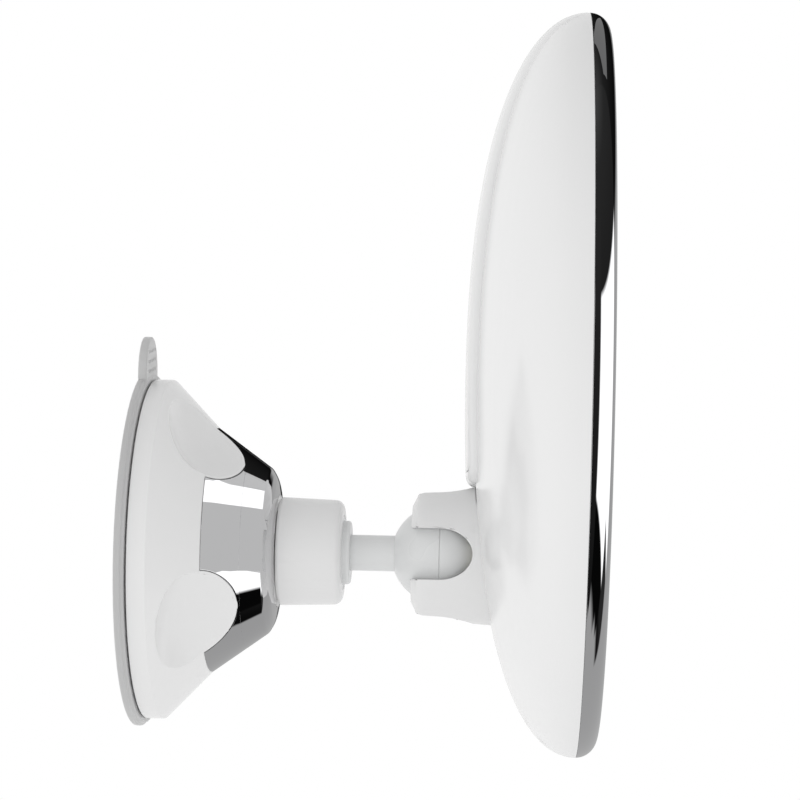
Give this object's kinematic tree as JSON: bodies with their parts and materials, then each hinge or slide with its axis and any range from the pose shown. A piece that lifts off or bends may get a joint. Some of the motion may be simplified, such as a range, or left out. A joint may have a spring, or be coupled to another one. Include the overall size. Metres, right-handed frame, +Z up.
{
  "type": "lighted wall makeup mirror",
  "caption": "Round lighted makeup mirror on a short ball-jointed arm, held to a wall by a twist-lock suction base with a chrome-trimmed knob.",
  "frame": {"origin": "centre of the suction disc's flat wall face", "axes": "+X out of the wall towards the mirror's face, +Z up, +Y to the right seen from behind the mirror"},
  "size_m": [0.1248, 0.2002, 0.2002],
  "materials": {
    "translucent_disc": "translucent grey soft plastic, satin",
    "white_plastic": "glossy white",
    "white_frame_plastic": "plain moulded white",
    "pale_bush_plastic": "pale grey white, semi gloss",
    "natural_plastic": "natural acetal, matt",
    "chrome_plating": "bright chrome plating",
    "screw_steel": "bright zinc",
    "black_rubber": "matt black",
    "cell_case": "plain sleeve, satin",
    "circuit_board": "green solder mask",
    "circuit_board_white": "white solder mask",
    "switch_black": "matt",
    "led_lens": "pale yellow resin",
    "silvered_mirror": "silvered glass",
    "frosted_diffuser": "frosted white"
  },
  "bodies": {
    "base": {"suction_disc": "translucent_disc", "pressure_plate": "white_frame_plastic", "thrust_washer": "natural_plastic", "swivel_collar": "white_plastic", "hub_screw": "screw_steel", "friction_washer": "black_rubber", "swivel_bush": "pale_bush_plastic"},
    "knob": {"lock_knob": "white_plastic", "knob_chrome_ring": "chrome_plating", "cam_sleeve": "natural_plastic", "cam_screws": "screw_steel"},
    "stud": {"draw_stud": "natural_plastic", "cross_pin": "screw_steel"},
    "arm": {"arm_rod": "pale_bush_plastic", "ball_rear_half": "pale_bush_plastic", "ball_front_half": "pale_bush_plastic", "ball_screw": "screw_steel"},
    "seat": {"ball_seat": "natural_plastic"},
    "head": {"ball_socket": "white_plastic", "socket_screws": "screw_steel", "back_shell": "white_plastic", "battery_bay": "white_frame_plastic", "batteries": "cell_case", "battery_contacts": "screw_steel", "switch_board": "circuit_board", "switch_screws": "screw_steel", "tact_switch": "switch_black", "inner_frame": "white_frame_plastic", "frame_screws": "screw_steel", "led_board": "circuit_board_white", "leds": "led_lens", "mirror_pad": "black_rubber", "mirror_glass": "silvered_mirror", "diffuser_ring": "frosted_diffuser", "chrome_rim": "chrome_plating"},
    "door": {"battery_door": "white_plastic"},
    "button": {"power_button": "white_plastic"}
  },
  "joints": [
    {"name": "knob_twist", "type": "hinge", "parent": "base", "child": "knob", "pos_m": [0.02, 0, 0], "axis": [-1, 0, 0], "range_deg": [0, 90]},
    {"name": "stud_draw", "type": "slide", "parent": "base", "child": "stud", "axis": [1, 0, 0], "range_m": [0, 0.003], "deforming": ["suction_disc"]},
    {"name": "arm_swivel", "type": "hinge", "parent": "base", "child": "arm", "pos_m": [0.049, 0, 0], "axis": [1, 0, 0], "continuous": true},
    {"name": "head_tilt", "type": "hinge", "parent": "arm", "child": "seat", "pos_m": [0.0814, 0, 0], "axis": [0, 1, 0], "range_deg": [-40, 40]},
    {"name": "head_spin", "type": "hinge", "parent": "seat", "child": "head", "pos_m": [0.0814, 0, 0], "axis": [1, 0, 0], "continuous": true},
    {"name": "door_lift", "type": "slide", "parent": "head", "child": "door", "axis": [-1, 0, 0], "range_m": [0, 0.012]},
    {"name": "button_press", "type": "slide", "parent": "head", "child": "button", "axis": [1, 0, 0], "range_m": [0, 0.0008], "stiffness_N_per_m": 2500}
  ],
  "couplings": [
    {"joint": "stud_draw", "follows": "knob_twist", "m_per_rad": 0.0019099}
  ]
}
